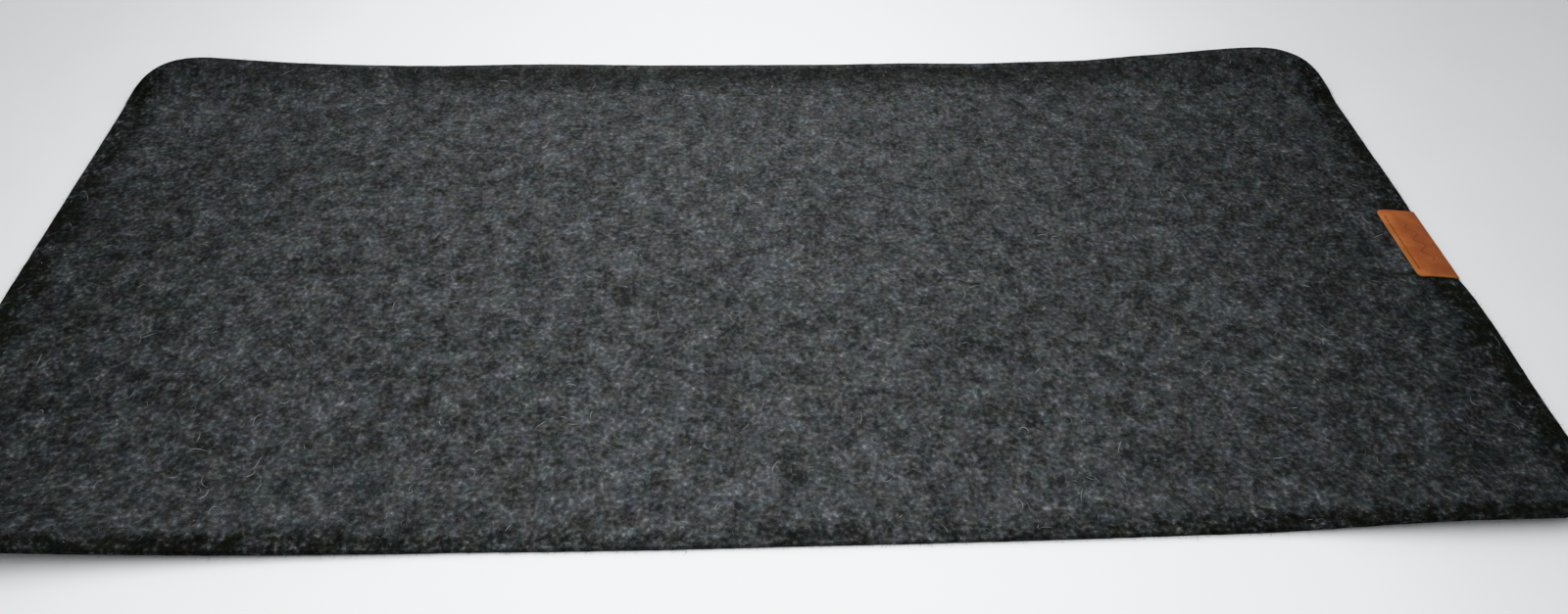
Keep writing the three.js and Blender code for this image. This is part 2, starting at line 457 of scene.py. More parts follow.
class Bench:
    """The node tree of one material, and the methods that add nodes to it."""

    def __init__(self, name: str) -> None:
        """Makes a material with an empty tree.

        Args:
            name: The material's name.
        """
        self.material = bpy.data.materials.new(name)
        self.material.use_nodes = True
        self.tree = self.material.node_tree
        self.tree.nodes.clear()

    def add(self, kind: str, settings: dict | None = None, sockets: dict | None = None) -> bpy.types.Node:
        """Adds a node.

        Args:
            kind: The node's type.
            settings: Its properties, set before its sockets.
            sockets: Values or links of its inputs, by name or number.

        Returns:
            The node.
        """
        node = self.tree.nodes.new(kind)
        for name, value in (settings or {}).items():
            setattr(node, name, value)
        for name, value in (sockets or {}).items():
            source = value.socket if isinstance(value, Number) else value
            if isinstance(source, Socket):
                self.tree.links.new(source, node.inputs[name])
            else:
                node.inputs[name].default_value = source
        return node

    def vector(self, operation: str, *inputs: object) -> Socket:
        """A Vector Math node's result."""
        settings = {"operation": operation}
        return self.add("ShaderNodeVectorMath", settings, dict(enumerate(inputs))).outputs[0]

    def millimetres(self, turn: float = 0.0, scale: Triple = EVEN) -> Socket:
        """The piece's own coordinates in millimetres, turned about Z and then scaled along each axis.

        Args:
            turn: The turn about Z.
            scale: The factor of each axis.

        Returns:
            The place.
        """
        own = self.add("ShaderNodeTexCoord").outputs["Object"]
        turned = self.add(
            "ShaderNodeMapping",
            {"vector_type": "POINT"},
            {"Vector": own, "Rotation": (0.0, 0.0, turn), "Scale": (PER_MILLIMETRE,) * 3},
        ).outputs[0]
        return self.vector("MULTIPLY", turned, scale)

    def noise(self, place: Socket, grain: Grain) -> bpy.types.Node:
        """A Noise Texture node in three dimensions."""
        sockets = {"Vector": place, "Scale": grain.scale, "Detail": grain.detail, "Roughness": grain.rough}
        return self.add("ShaderNodeTexNoise", {"noise_dimensions": "3D"}, sockets)

    def noises(self, place: Socket, *grains: Grain) -> list[Number]:
        """Layers of noise as numbers, each about a half on average."""
        return [Number(self, self.noise(place, grain).outputs["Fac"]) for grain in grains]

    def shifted(self, place: Socket, grain: Grain, reach: float) -> Socket:
        """A place moved at random: by a noise's colour less its middle, times a reach.

        Args:
            place: The place to move.
            grain: The noise that moves it.
            reach: The factor of the move.

        Returns:
            The moved place.
        """
        wander = self.noise(place, grain).outputs["Color"]
        centred = self.vector("SUBTRACT", wander, (NOISE_MIDDLE,) * 3)
        return self.vector("MULTIPLY_ADD", centred, (reach,) * 3, place)

    def layered(self, middle: float | Number, noises: list[Number], *grains: Grain) -> Number:
        """A middle tone, plus each noise's distance from its own middle times its weight.

        Args:
            middle: The middle tone.
            noises: The layers' noises.
            grains: The layers.

        Returns:
            The tone.
        """
        for noise, grain in zip(noises, grains):
            middle = middle + (noise - NOISE_MIDDLE) * grain.weight
        return middle

    def attribute(self, name: str) -> Number:
        """A named number of the piece's vertices."""
        return Number(self, self.add("ShaderNodeAttribute", {"attribute_name": name}).outputs["Fac"])

    def colours(self, number: Number, stops: Stops) -> Socket:
        """A colour ramp's colour for a number held between 0 and 1. Each stop is a place and a colour.

        Args:
            number: What picks the colour.
            stops: The ramp's stops, in order.

        Returns:
            The colour.
        """
        node = self.add("ShaderNodeValToRGB", {}, {"Fac": number.held()})
        elements = node.color_ramp.elements
        while len(elements) < len(stops):
            elements.new(1.0)
        for element, (place, colour) in zip(elements, stops):
            element.position = place
            element.color = (*colour, 1.0)
        return node.outputs["Color"]

    def blend(self, share: object, first: object, second: object, how: str = "MIX") -> Socket:
        """Two colours mixed by a share.

        Args:
            share: How much of the second colour goes in.
            first: The first colour or its link.
            second: The second colour or its link.
            how: The Mix node's way to blend.

        Returns:
            The mixed colour.
        """
        sockets = {MIX_COLOUR_FACTOR: share}
        for place, colour in ((MIX_COLOUR_A, first), (MIX_COLOUR_B, second)):
            sockets[place] = (*colour, 1.0) if isinstance(colour, tuple) else colour
        settings = {"data_type": "RGBA", "blend_type": how}
        return self.add("ShaderNodeMix", settings, sockets).outputs[MIX_COLOUR_RESULT]

    def multiplied(self, first: object, *others: object) -> Socket:
        """Colours multiplied together.

        Args:
            first: The first colour or its link.
            others: The others.

        Returns:
            The product.
        """
        for other in others:
            first = self.blend(1.0, first, other, "MULTIPLY")
        return first

    def bump(self, height: Number, distance: float, strength: float) -> Socket:
        """A Bump node's normal for a height from 0 to 1 over a distance."""
        sockets = {"Height": height, "Distance": distance, "Strength": strength}
        return self.add("ShaderNodeBump", {}, sockets).outputs["Normal"]

    def finish(self, sockets: dict) -> Material:
        """Closes the tree with a Principled shader of these sockets, and gives the material.

        Args:
            sockets: Values or links of the shader's inputs, by name.

        Returns:
            The material.
        """
        shader = self.add("ShaderNodeBsdfPrincipled", {}, sockets)
        self.add("ShaderNodeOutputMaterial", {}, {"Surface": shader.outputs[0]})
        return self.material


@dataclass(frozen=True)
class FeltFinish:
    """Needled felt: dark and light fibres matted together, with clouds of tone and faint tints."""

    drifts: Grain = Grain(0.035, 2.0, 0.5, weight=0.18)
    clouds: Grain = Grain(0.13, 3.0, 0.55, weight=0.75)
    clumps: Grain = Grain(0.42, 3.0, 0.6, weight=0.77)
    grain: Grain = Grain(1.5, 2.0, 0.6, weight=0.27)
    hue: Grain = Grain(0.15, 1.5, 0.5)
    cast: Grain = Grain(0.12, 1.5, 0.5)
    fibre_wander: Grain = Grain(0.5, 1.0, 0.5)
    fibre_level: Grain = Grain(1.0, 2.0, 0.5)
    fibre_turns: tuple[float, ...] = (0.2, 0.95, 1.75, 2.5)
    dark_fibre_turn: float = 0.41
    fibre_stretch: Triple = (0.16, 1.5, 0.6)
    fibre_reach: float = 0.9
    fibre_thinness: float = 2.6
    fibre_sharpness: float = 9.0
    middle_tone: float = 0.49
    light_fibre_tone: float = 0.075
    clumped_fibre_tone: float = 0.165
    dark_fibre_tone: float = 0.12
    clumped: Pair = (0.5, 0.68)
    stops: Stops = (
        (0.0, (0.014, 0.014, 0.014)),
        (0.28, (0.034, 0.0352, 0.0354)),
        (0.50, (0.070, 0.0734, 0.0750)),
        (0.72, (0.121, 0.1272, 0.1312)),
        (1.0, (0.31, 0.325, 0.338)),
    )
    cool_tint: Colour = (0.955, 1.00, 1.03)
    warm_tint: Colour = (1.035, 1.005, 0.945)
    plum_tint: Colour = (1.031, 0.983, 1.027)
    moss_tint: Colour = (0.978, 1.009, 0.986)
    hue_turn: float = 0.7
    hue_follows_tone: float = 0.3
    hue_range: Pair = (0.34, 0.66)
    cast_turn: float = 1.9
    cast_range: Pair = (0.38, 0.62)
    lay: Triple = (1.0, 0.93, 1.0)
    # Painted shade: the edge bands darken the felt's colour towards this warm dark, by up to this share.
    shade_colour: Colour = (0.06, 0.05, 0.0)
    shade_share: float = 0.74
    shade_break: float = 1.7
    roughness: float = 0.97
    specular: float = 0.12
    sheen: float = 0.08
    sheen_roughness: float = 0.55
    sheen_tint: Colour = (0.655, 0.65, 0.65)
    clump_height: float = 0.4
    grain_height: float = 0.4
    light_fibre_height: float = 0.5
    dark_fibre_height: float = 0.3
    bump_distance: float = 0.00035
    bump_strength: float = 0.9

    def fibres(self, bench: Bench, seed: float) -> Number:
        """Thin wandering lines: the even level of stretched noise, sharpened, in several directions.

        Args:
            bench: The material's bench.
            seed: A turn that sets this set of lines apart from another.

        Returns:
            1 on a line and near 0 between lines.
        """
        lines = None
        for turn in self.fibre_turns:
            place = bench.millimetres(turn + seed, self.fibre_stretch)
            shifted = bench.shifted(place, self.fibre_wander, self.fibre_reach)
            (level,) = bench.noises(shifted, self.fibre_level)
            line = (1.0 - abs(level - NOISE_MIDDLE) * self.fibre_thinness).held() ** self.fibre_sharpness
            lines = line if lines is None else lines.larger(line)
        return lines

    def tint(self, bench: Bench, tone: Number) -> Socket:
        """The faint tints: warm or cool, which follows the tone a little, times moss or plum.

        Args:
            bench: The material's bench.
            tone: The felt's tone.

        Returns:
            The tint.
        """
        (hue,) = bench.noises(bench.millimetres(self.hue_turn), self.hue)
        (cast,) = bench.noises(bench.millimetres(self.cast_turn), self.cast)
        coolness = (hue + (tone - NOISE_MIDDLE) * self.hue_follows_tone).ramp(*self.hue_range)
        return bench.multiplied(
            bench.blend(coolness, self.warm_tint, self.cool_tint),
            bench.blend(cast.ramp(*self.cast_range), self.moss_tint, self.plum_tint),
        )

    def shade(self, bench: Bench, clouds: Number, clumps: Number) -> Socket:
        """The painted shade of the edge bands, which pale clouds and clumps break up.

        Args:
            bench: The material's bench.
            clouds: The clouds' noise.
            clumps: The clumps' noise.

        Returns:
            The shade, white outside the bands.
        """
        broken = 1.0 + (1.0 - clouds - clumps) * self.shade_break
        painted_shade = (bench.attribute("painted_shade") * broken).larger(bench.attribute("far_painted_shade")).held()
        return bench.blend(painted_shade * self.shade_share, WHITE, self.shade_colour)

    def material(self) -> Material:
        """Mixes tones, tints and the painted shade of the edge bands into a colour, and clumps and fibres
        into a bump.

        Returns:
            The felt's material.
        """
        bench = Bench("charcoal_felt")
        grains = (self.drifts, self.clouds, self.clumps, self.grain)
        noises = bench.noises(bench.millimetres(0.0, self.lay), *grains)
        _, clouds, clumps, grain = noises
        light_fibres = self.fibres(bench, 0.0)
        dark_fibres = self.fibres(bench, self.dark_fibre_turn)
        light_tone = self.light_fibre_tone + clumps.ramp(*self.clumped) * self.clumped_fibre_tone
        tone = bench.layered(self.middle_tone, noises, *grains)
        tone = tone + light_fibres * light_tone - dark_fibres * self.dark_fibre_tone
        tint = self.tint(bench, tone)
        shade = self.shade(bench, clouds, clumps)
        height = clumps * self.clump_height + grain * self.grain_height
        height = height + light_fibres * self.light_fibre_height - dark_fibres * self.dark_fibre_height
        return bench.finish(
            {
                "Base Color": bench.multiplied(bench.colours(tone, self.stops), tint, shade),
                "Roughness": self.roughness,
                "Specular IOR Level": self.specular,
                "Sheen Weight": self.sheen,
                "Sheen Roughness": self.sheen_roughness,
                "Sheen Tint": (*self.sheen_tint, 1.0),
                "Normal": bench.bump(height, self.bump_distance, self.bump_strength),
            }
        )


@dataclass(frozen=True)
class LooseFibreFinish:
    """Loose fibres of the felt, each with a shade of its own from black to pale grey."""

    dark: Colour = (0.012, 0.012, 0.014)
    pale: Colour = (0.56, 0.57, 0.59)
    grain: Grain = Grain(2.0, 1.0, 0.5, weight=0.2)
    roughness: float = 0.8
    specular: float = 0.2
    sheen: float = 0.2

    def material(self) -> Material:
        """Makes the material, which reads the shade that each fibre carries.

        Returns:
            The fibres' material.
        """
        bench = Bench("loose_felt_fibres")
        noises = bench.noises(bench.millimetres(), self.grain)
        level = bench.layered(bench.attribute("shade"), noises, self.grain).held()
        return bench.finish(
            {
                "Base Color": bench.blend(level, self.dark, self.pale),
                "Roughness": self.roughness,
                "Specular IOR Level": self.specular,
                "Sheen Weight": self.sheen,
            }
        )


@dataclass(frozen=True)
class LeatherFinish:
    """Smooth tan leather: a fine pebbled grain, clouded dye, paler raw edges and a darker pressed mark."""

    clouds: Grain = Grain(0.09, 3.0, 0.5, weight=1.0)
    mottle: Grain = Grain(0.7, 3.0, 0.6, weight=0.4)
    edge_grain: Grain = Grain(3.0, 2.0, 0.6)
    pebble_wander: Grain = Grain(1.4, 2.0, 0.5)
    pebble_reach: float = 0.35
    pebble_scale: float = 2.1
    crease_width: float = 0.14
    middle_tone: float = 0.44
    crease_shade: float = 0.10
    painted_light_tone: float = 0.34
    shaded_tone: float = 0.12
    stops: Stops = (
        (0.0, (0.20, 0.050, 0.016)),
        (0.45, (0.325, 0.089, 0.027)),
        (0.7, (0.42, 0.130, 0.039)),
        (1.0, (0.55, 0.20, 0.064)),
    )
    raw_edge: Colour = (0.44, 0.215, 0.090)
    pressed: Colour = (0.17, 0.045, 0.014)
    pressed_share: float = 0.75
    raw_share: float = 0.55
    raw_spread: float = 0.6
    roughness: float = 0.46
    mottle_roughness: float = 0.14
    edge_roughness: float = 0.3
    pressed_polish: float = 0.06
    specular: float = 0.42
    mottle_height: float = 0.3
    crease_depth: float = 0.45
    edge_height: float = 0.8
    bump_distance: float = 0.00012
    bump_strength: float = 0.8

    def material(self) -> Material:
        """Makes the material, which reads where the cut edge, the pressed mark and the painted light and
        shade lie.

        Returns:
            The leather's material.
        """
        bench = Bench("tan_leather")
        place = bench.millimetres()
        clouds, mottle, edge_noise = bench.noises(place, self.clouds, self.mottle, self.edge_grain)
        moved = bench.shifted(place, self.pebble_wander, self.pebble_reach)
        settings = {"feature": "DISTANCE_TO_EDGE"}
        cells = bench.add("ShaderNodeTexVoronoi", settings, {"Vector": moved, "Scale": self.pebble_scale})
        rim, press, painted_light, shaded = (bench.attribute(name) for name in ("rim", "press", "painted_light", "shaded"))
        flat = Number(bench, cells.outputs["Distance"]).ramp(0.0, self.crease_width)
        # The grain's creases are darkened in colour as well as bumped: painted shade in the creases.
        creases = (1.0 - flat) * (1.0 - rim)
        tone = bench.layered(self.middle_tone, [clouds, mottle], self.clouds, self.mottle)
        # Painted light makes the free ends and the sides paler; painted shade darkens the upper leaf
        # towards the fold.
        tone = tone - creases * self.crease_shade + painted_light * self.painted_light_tone - shaded * self.shaded_tone
        body = bench.colours(tone, self.stops)
        marked = bench.blend((press * self.pressed_share).held(), body, self.pressed)
        edge = (rim * (self.raw_share + edge_noise * self.raw_spread)).held()
        height = mottle * self.mottle_height - creases * self.crease_depth
        height = height + edge_noise * rim * self.edge_height
        rough = self.roughness + mottle * self.mottle_roughness + rim * self.edge_roughness
        return bench.finish(
            {
                "Base Color": bench.blend(edge, marked, self.raw_edge),
                "Roughness": (rough - press * self.pressed_polish).held(),
                "Specular IOR Level": self.specular,
                "Normal": bench.bump(height, self.bump_distance, self.bump_strength),
            }
        )


@dataclass(frozen=True)
class ThreadFinish:
    """Waxed brown sewing thread with faint fibres along each ply."""

    brown: Colour = (0.20, 0.070, 0.024)
    dark: Colour = (0.10, 0.032, 0.012)
    streaks: Grain = Grain(9.0, 2.0, 0.6)
    stretch: Triple = (1.0, 0.35, 1.0)
    streak_range: Pair = (0.3, 0.7)
    roughness: float = 0.6
    bump_distance: float = 0.00004
    bump_strength: float = 0.7

    def material(self) -> Material:
        """Streaks two browns along the plies.

        Returns:
            The thread's material.
        """
        bench = Bench("brown_thread")
        (streaks,) = bench.noises(bench.millimetres(0.0, self.stretch), self.streaks)
        return bench.finish(
            {
                "Base Color": bench.blend(streaks.ramp(*self.streak_range), self.dark, self.brown),
                "Roughness": self.roughness,
                "Normal": bench.bump(streaks, self.bump_distance, self.bump_strength),
            }
        )


@dataclass(frozen=True)
class FloorFinish:
    """A plain pale table top with a trace of unevenness."""

    pale: Colour = (0.80, 0.80, 0.80)
    darker: Colour = (0.776, 0.776, 0.776)
    grain: Grain = Grain(0.02, 2.0, 0.5)
    roughness: float = 0.55
    specular: float = 0.2

    def material(self) -> Material:
        """Clouds two greys over the floor.

        Returns:
            The floor's material.
        """
        bench = Bench("pale_floor")
        (level,) = bench.noises(bench.millimetres(), self.grain)
        colour = bench.blend(level, self.darker, self.pale)
        return bench.finish(
            {"Base Color": colour, "Roughness": self.roughness, "Specular IOR Level": self.specular}
        )


@dataclass
class TagFold:
    """The way that the tag's strip lies round the sheet's right edge, and the gap that it leaves the felt.

    From its lower free end the strip runs level to the sheet's edge, turns round the fold, slopes up over
    the pinched felt and levels out a little before the seam.

    Attributes:
        leather: Thickness of the strip.
        pressed: Thickness of the felt under the level part of the upper leaf.
        pinched: Thickness of the felt in the fold.
        pinch_inset: How far past the seam the upper leaf starts to slope down.
        bend: Length over which the upper leaf turns from its slope to the level.
        table_size: Number of places in the table of the strip's course.
    """

    leather: float = 0.001
    pressed: float = 0.0026
    pinched: float = 0.0008
    pinch_inset: float = 0.003
    bend: float = 0.005
    table_size: int = 6001

    def __post_init__(self) -> None:
        """Reads the places of the edge, the tag and the seam from the frame, and lays the strip out."""
        self.low, self.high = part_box("leather_tag")
        self.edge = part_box("felt_sheet")[1].x
        seam_low, seam_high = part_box("tag_needle_thread")
        self.seam = (seam_low.x + seam_high.x) / 2
        self.seam_inset = self.seam - self.low.x
        self.seam_middle = (seam_low.y + seam_high.y) / 2
        self.seam_half = (seam_high.y - seam_low.y) / 2
        self.seat = self.low.z + self.leather
        self.seat_top = self.seat + self.pressed
        self.centre = self.seat + self.pinched / 2
        self.pinch = self.seam + self.pinch_inset
        self.run = self.edge - self.pinch
        drop = self.seat_top - self.centre
        self.slope = math.atan2(drop, self.run) - math.asin(self.pinched / 2 / math.hypot(self.run, drop))
        self.pinched_top = self.centre + self.pinched / 2 / math.cos(self.slope)
        self.lay_out()

    def lay_out(self) -> None:
        """Works out the strip's length and a table of the course of its middle layer.

        The heading is 0 on the lower leaf, pi less the slope after the fold, and pi on the upper leaf's
        level part. The course is the running sum of the heading's cosine and sine.
        """
        middle = (self.pinched + self.leather) / 2
        tangent = self.bend / self.slope * math.tan(self.slope / 2)
        kink = self.pinch + self.leather / 2 * math.tan(self.slope / 2)
        straight = (self.edge + middle * math.sin(self.slope) - kink) / math.cos(self.slope) - tangent
        legs = [
            self.edge - self.low.x,
            (math.pi - self.slope) * middle,
            straight,
            self.bend,
            kink - self.low.x - tangent,
        ]
        self.places = running(legs)
        self.length = float(self.places[-1])
        sloped = math.pi - self.slope
        self.headings = np.array([0.0, 0.0, sloped, sloped, math.pi, math.pi])
        self.table = np.linspace(0.0, self.length, self.table_size)
        heading = self.heading(self.table)
        step = self.table[1] / 2
        runs = (np.cos(heading[1:]) + np.cos(heading[:-1])) * step
        rises = (np.sin(heading[1:]) + np.sin(heading[:-1])) * step
        self.course_x = self.low.x + running(runs)
        self.course_z = self.low.z + self.leather / 2 + running(rises)

    def heading(self, along: Array) -> Array:
        """The way that the strip heads at distances along it: 0 is to +X, and it turns towards +Z."""
        return np.interp(along, self.places, self.headings)

    def laid(self, along: Array, w: Array) -> tuple[Array, Array]:
        """Places along X and Z of points of the strip.

        Each is the middle layer's point, plus the height over that layer square to the heading.

        Args:
            along: Distance along the strip from its lower free end.
            w: Height above the strip's inner face.

        Returns:
            Places along X and Z.
        """
        heading = self.heading(along)
        off = w - self.leather / 2
        x = np.interp(along, self.table, self.course_x) + off * np.sin(heading)
        z = np.interp(along, self.table, self.course_z) - off * np.cos(heading)
        return x, z

    def press(self, x: Array, y: Array, ease: float) -> Array:
        """How fully a place lies between the leaves: 1 there, easing to 0 round them.

        Args:
            x: Places along X.
            y: Places along Y.
            ease: How far round the leaves the felt gives.

        Returns:
            The share at each place.
        """
        inward = np.maximum(0.0, self.low.x - x)
        centre = (self.low.y + self.high.y) / 2
        sideways = np.maximum(0.0, np.abs(y - centre) - (self.high.y - self.low.y) / 2)
        return fade(inward, ease) * fade(sideways, ease)

    def felt_top(self, x: Array) -> Array:
        """Height of the felt's top between the leaves: level round the seam, then down to the fold."""
        share = np.maximum(0.0, (x - self.pinch) / self.run)
        return self.seat_top + (self.pinched_top - self.seat_top) * share


@dataclass(frozen=True)
class Sway:
    """A stretch of one side where the limp sheet stands out of its straight line or off the desk.

    Attributes:
        side: The way from the sheet's middle to that side, along X or Y.
        centre: Place of the stretch's middle along the side.
        half: Half of the stretch's length.
        out: How far it stands out.
        lift: How far it stands off the desk.
        depth: How far the sway reaches in from the side.
    """

    side: tuple[int, int]
    centre: float
    half: float
    out: float = 0.0
    lift: float = 0.0
    depth: float = 0.05

    def share(self, x: Array, y: Array, half_length: float, half_depth: float) -> Array:
        """How fully a place takes part: a cosine bump along the side, fading inwards by a smooth step.

        Args:
            x: Places along the sheet's length, from its middle.
            y: Places along its depth, from its middle.
            half_length: Half of the sheet's length.
            half_depth: Half of its depth.

        Returns:
            The share at each place.
        """
        across, along = (x * self.side[0], y) if self.side[0] else (y * self.side[1], x)
        reach = half_length if self.side[0] else half_depth
        bump = (1 + np.cos(np.pi * np.clip((along - self.centre) / self.half, -1.0, 1.0))) / 2
        return bump * fade(reach - across, self.depth)


@dataclass(frozen=True)
class ShadeBands:
    """Painted shade: bands along the sheet's edges where the felt's colour is darkened in place of shade.

    A place's strength in a band goes from 1 at the edge to 0 inside, and is measured by its distance from
    that edge. Where a strength changes along an edge, a start and a run say where it does so.
    """

    fall: float = 0.75
    near_width: float = 0.015
    near_middle: float = 0.36
    near_left_gain: float = 0.58
    near_right_gain: float = 0.48
    near_gains: Pair = (0.08, 0.16)
    side_width: float = 0.030
    side_far: float = 0.87
    side_near_gain: float = 0.13
    side_gains: Pair = (0.08, -0.12)
    halo_width: float = 0.145
    halo_strength: float = 0.3
    halo_starts: Pair = (0.17, -0.12)
    held: float = 0.2
    far_width: float = 0.044
    far_middle: float = 0.74
    far_side_loss: float = 0.27
    far_losses: Pair = (0.18, 0.10)
    far_rim_width: float = 0.0065
    far_rim_loss: float = 0.6
    far_rim_ends: Pair = (0.33, -0.08)

    def band(self, distance: Array, width: float) -> Array:
        """Strength in a band: full over its outer quarter and falling to 0 at its width."""
        return smooth((1 - distance / width) / self.fall)

    def far(self, out: Array, to_far: Array) -> Array:
        """Strength of the far band of painted shade, which has a paler rim and is weaker towards the
        corners.

        Args:
            out: Distance from the sheet's middle along its length.
            to_far: Distance from the far edge.

        Returns:
            The strength at each place.
        """
        rim = fade(to_far, self.far_rim_width, self.held) * rise(out, *self.far_rim_ends)
        strength = self.far_middle - self.far_side_loss * rise(out, *self.far_losses)
        return self.band(to_far, self.far_width) * (1 - self.far_rim_loss * rim) * strength

    def near_and_sides(self, x: Array, y: Array, to_side: Array, to_near: Array) -> Array:
        """Strength of the near and side bands of painted shade: that of the strongest of them at each
        place.

        The near band is faint in its middle. The side ones gain a little towards the user, and a broad
        faint halo reaches further in from them.

        Args:
            x: Place along the sheet's length, from its middle.
            y: Place along its depth, from its middle.
            to_side: Distance from the nearer short edge.
            to_near: Distance from the near edge.

        Returns:
            The strength at each place.
        """
        gain = np.where(x < 0, self.near_left_gain, self.near_right_gain)
        gain = gain * rise(np.abs(x), *self.near_gains)
        near = self.band(to_near, self.near_width) * (self.near_middle + gain)
        gain = self.side_near_gain * rise(y, *self.side_gains)
        side = self.band(to_side, self.side_width) * (self.side_far + gain)
        halo = self.halo_strength * fade(to_side, self.halo_width, self.held) * rise(y, *self.halo_starts)
        return np.maximum(near, np.maximum(side, halo))


@dataclass
class FeltSheet:
    """The cut sheet of felt, with the curl that its corners keep and the dip where the tag presses it."""

    fold: TagFold
    thickness: float = 0.003
    near_corner: float = 0.034
    far_corner: float = 0.046
    arris: float = 0.00045
    near_left_rise: float = 0.016
    near_right_rise: float = 0.0053
    far_left_rise: float = 0.013
    far_right_rise: float = 0.0155
    near_left_curl_length: float = 0.330
    near_right_curl_length: float = 0.184
    near_right_curl_growth: float = 0.118
    far_curl_length: float = 0.245
    curl_depth: float = 0.050
    near_left_curl_power: float = 2.6
    far_left_curl_power: float = 2.8
    far_right_curl_power: float = 1.3
    ease: float = 0.012
    lumps: tuple[Pair, ...] = ((0.017, 0.00007), (0.007, 0.00009), (0.0035, 0.00006))
    top_seed: int = 11
    underside_seed: int = 31
    edge_waver: float = 0.00016
    edge_waver_middle: float = 0.3
    edge_waver_skew: float = 2.0
    coarse_waver: Cloud = Cloud(cell=0.004, height=0.6, seed=51, shift=2.0)
    fine_waver: Cloud = Cloud(cell=0.0017, height=0.5, seed=52, shift=3.0)
    # Bands of painted shade along the sheet's edges.
    bands: ShadeBands = ShadeBands()
    sways: tuple[Sway, ...] = (
        Sway((0, -1), 0.08, 0.22, out=0.0014),
        Sway((0, -1), -0.06, 0.10, out=0.0007),
        Sway((1, 0), -0.065, 0.06, out=0.0018),
        Sway((0, 1), -0.14, 0.09, lift=0.0012),
        Sway((0, 1), 0.12, 0.07, lift=0.0008),
        Sway((0, 1), 0.235, 0.045, lift=-0.0012),
        Sway((0, 1), 0.335, 0.05, lift=0.0010),
    )

    def __post_init__(self) -> None:
        """Reads the sheet's place from the frame."""
        low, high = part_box("felt_sheet")
        self.middle = (low + high) / 2
        self.length = high.x - low.x
        self.depth = high.y - low.y

    def pattern(self) -> Pattern:
        """The sheet's flat pattern and the spacing of its grid."""
        return Pattern(
            length=self.length,
            width=self.depth,
            low_corner=self.near_corner,
            high_corner=self.far_corner,
            thickness=self.thickness,
            arris=self.arris,
            column_step=0.0029,
            row_step=0.0030,
            corner_steps=20,
            arris_steps=3,
            wall_steps=2,
        )

    def curl(self, x: Array, y: Array) -> Array:
        """Height of the underside at places measured from the sheet's middle.

        A corner's rise, times its growth towards the short edge, times a smooth step over the curl's depth
        from the long edge. The growth is the share of the curl's length that is left behind, to a power,
        and at the near right corner a smooth step over a stretch of that length.

        Args:
            x: Places along the sheet's length, from its middle.
            y: Places along its depth, from its middle.

        Returns:
            The height at each place.
        """
        to_side = self.length / 2 - np.abs(x)
        near_left = np.maximum(0.0, 1 - to_side / self.near_left_curl_length) ** self.near_left_curl_power
        near_right = rise(to_side, self.near_right_curl_length, -self.near_right_curl_growth)
        near = np.where(x < 0, self.near_left_rise * near_left, self.near_right_rise * near_right)
        far_rise = np.where(x < 0, self.far_left_rise, self.far_right_rise)
        far_power = np.where(x < 0, self.far_left_curl_power, self.far_right_curl_power)
        far = far_rise * np.maximum(0.0, 1 - to_side / self.far_curl_length) ** far_power
        across = fade(self.depth / 2 - np.abs(y), self.curl_depth)
        return np.where(y < 0, near, far) * across

    def unevenness(self, x: Array, y: Array, seed: int) -> Array:
        """A face's low lumps: clouds of a few cells and heights added together.

        Args:
            x: Places along the sheet's length, from its middle.
            y: Places along its depth, from its middle.
            seed: Seed of the first cloud, from which the next ones count on.

        Returns:
            The height of the lumps at each place.
        """
        total = np.zeros_like(x)
        for number, (cell, height) in enumerate(self.lumps):
            total = total + Cloud(cell, height, seed + number).at(x, y)
        return total

    def height(self, x: Array, y: Array, face: Face) -> Array:
        """Height of a face at places measured from the sheet's middle.

        The curl, plus the face's height, which blends into its height between the tag's leaves, plus the
        face's lumps, which the leaves flatten.

        Args:
            x: Places along the sheet's length, from its middle.
            y: Places along its depth, from its middle.
            face: The face.

        Returns:
            The height at each place.
        """
        press = self.fold.press(x + self.middle.x, y + self.middle.y, self.ease)
        if face is Face.UNDERSIDE:
            lumps = np.abs(self.unevenness(x, y, self.underside_seed))
            return self.curl(x, y) + self.fold.seat * press + lumps * (1 - press)
        between = self.fold.felt_top(x + self.middle.x)
        flat = self.thickness + (between - self.thickness) * press
        return self.curl(x, y) + flat + self.unevenness(x, y, self.top_seed) * (1 - press)

    def placed(self, x: Array, y: Array, z: Array) -> Array:
        """Points of the straight-sided sheet where they come to lie, with the sides' sways added.

        Args:
            x: Places along the sheet's length, from its middle.
            y: Places along its depth, from its middle.
            z: Heights.

        Returns:
            The points in the frame, three numbers each.
        """
        out_x = np.zeros_like(x)
        out_y = np.zeros_like(y)
        lift = np.zeros_like(z)
        for sway in self.sways:
            share = sway.share(x, y, self.length / 2, self.depth / 2)
            out_x = out_x + share * sway.out * sway.side[0]
            out_y = out_y + share * sway.out * sway.side[1]
            lift = lift + share * sway.lift
        return np.stack([x + out_x + self.middle.x, y + out_y + self.middle.y, z + lift], axis=-1)

    def build(self) -> Piece:
        """Lays the cut sheet down: each vertex between the heights of the two faces at its place.

        The cut edge wavers in and out a little, as a knife leaves it in a matted stock.

        Returns:
            The sheet's object.
        """
        cut = self.pattern().cut()
        waver = self.coarse_waver.at(cut.p, cut.q)
        waver = waver + self.fine_waver.at(cut.p, cut.q + cut.w * self.edge_waver_skew)
        pull = 1 + cut.rim * self.edge_waver * (waver - self.edge_waver_middle) / (self.depth / 2)
        x = cut.p * pull
        y = cut.q * pull
        share = cut.w / self.thickness
        low = self.height(x, y, Face.UNDERSIDE)
        high = self.height(x, y, Face.TOP)
        z = low + share * (high - low)
        out = np.abs(x)
